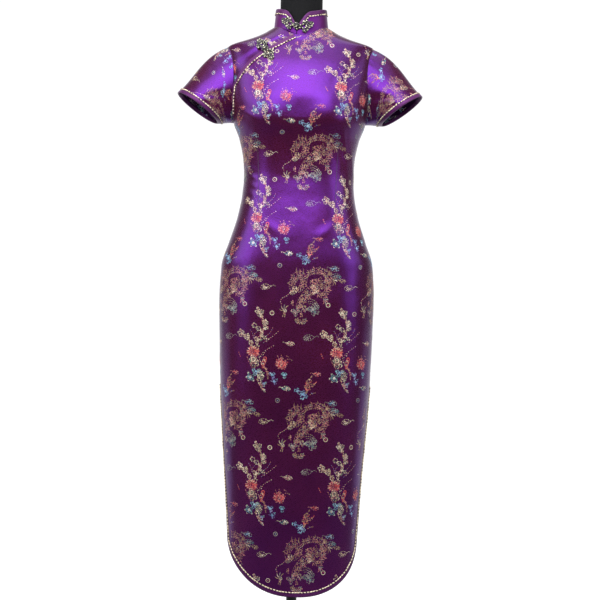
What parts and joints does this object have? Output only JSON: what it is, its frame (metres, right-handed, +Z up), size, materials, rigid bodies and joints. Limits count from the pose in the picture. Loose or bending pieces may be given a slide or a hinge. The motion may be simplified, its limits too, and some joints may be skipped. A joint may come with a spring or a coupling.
{
  "type": "cheongsam dress on a dress form",
  "caption": "Long fitted cheongsam in brocade satin with a standing collar, diagonal front opening, short sleeves and side slits, on a black dress form with a round base.",
  "frame": {"origin": "on the floor, on the axis of the stand's pole", "axes": "+Z up, the front of the dress faces -Y, the wearer's right arm is at -X"},
  "size_m": [0.5882, 0.35, 1.5353],
  "materials": {
    "brocade_satin": "dark purple satin with woven brocade figures",
    "satin_binding": "plain purple satin, bias cut",
    "gold_piping": "pale gold metallic cord",
    "knotted_cord": "black brocade cord with gold threads",
    "form_jersey": "matt black stretch jersey over a hard shell",
    "form_cap": "smooth black cap",
    "stand_metal": "black powder coat"
  },
  "bodies": {
    "root": {"front": "brocade_satin", "underlap": "brocade_satin", "back": "brocade_satin", "sleeve_left": "brocade_satin", "sleeve_right": "brocade_satin", "collar": "brocade_satin", "binding_hem_front": "satin_binding", "binding_hem_back": "satin_binding", "binding_overlap": "satin_binding", "binding_collar": "satin_binding", "binding_cuff_left": "satin_binding", "binding_cuff_right": "satin_binding", "piping_hem_front": "gold_piping", "piping_hem_back": "gold_piping", "piping_overlap": "gold_piping", "piping_collar": "gold_piping", "piping_cuff_left": "gold_piping", "piping_cuff_right": "gold_piping", "closure_collar_right": "knotted_cord", "closure_collar_left": "knotted_cord", "button_collar": "knotted_cord", "closure_overlap_front": "knotted_cord", "closure_overlap_under": "knotted_cord", "button_overlap": "knotted_cord", "form_torso": "form_jersey", "form_neck_cap": "form_cap", "form_flange": "stand_metal", "stand_pole": "stand_metal", "stand_base": "stand_metal"}
  },
  "joints": []
}
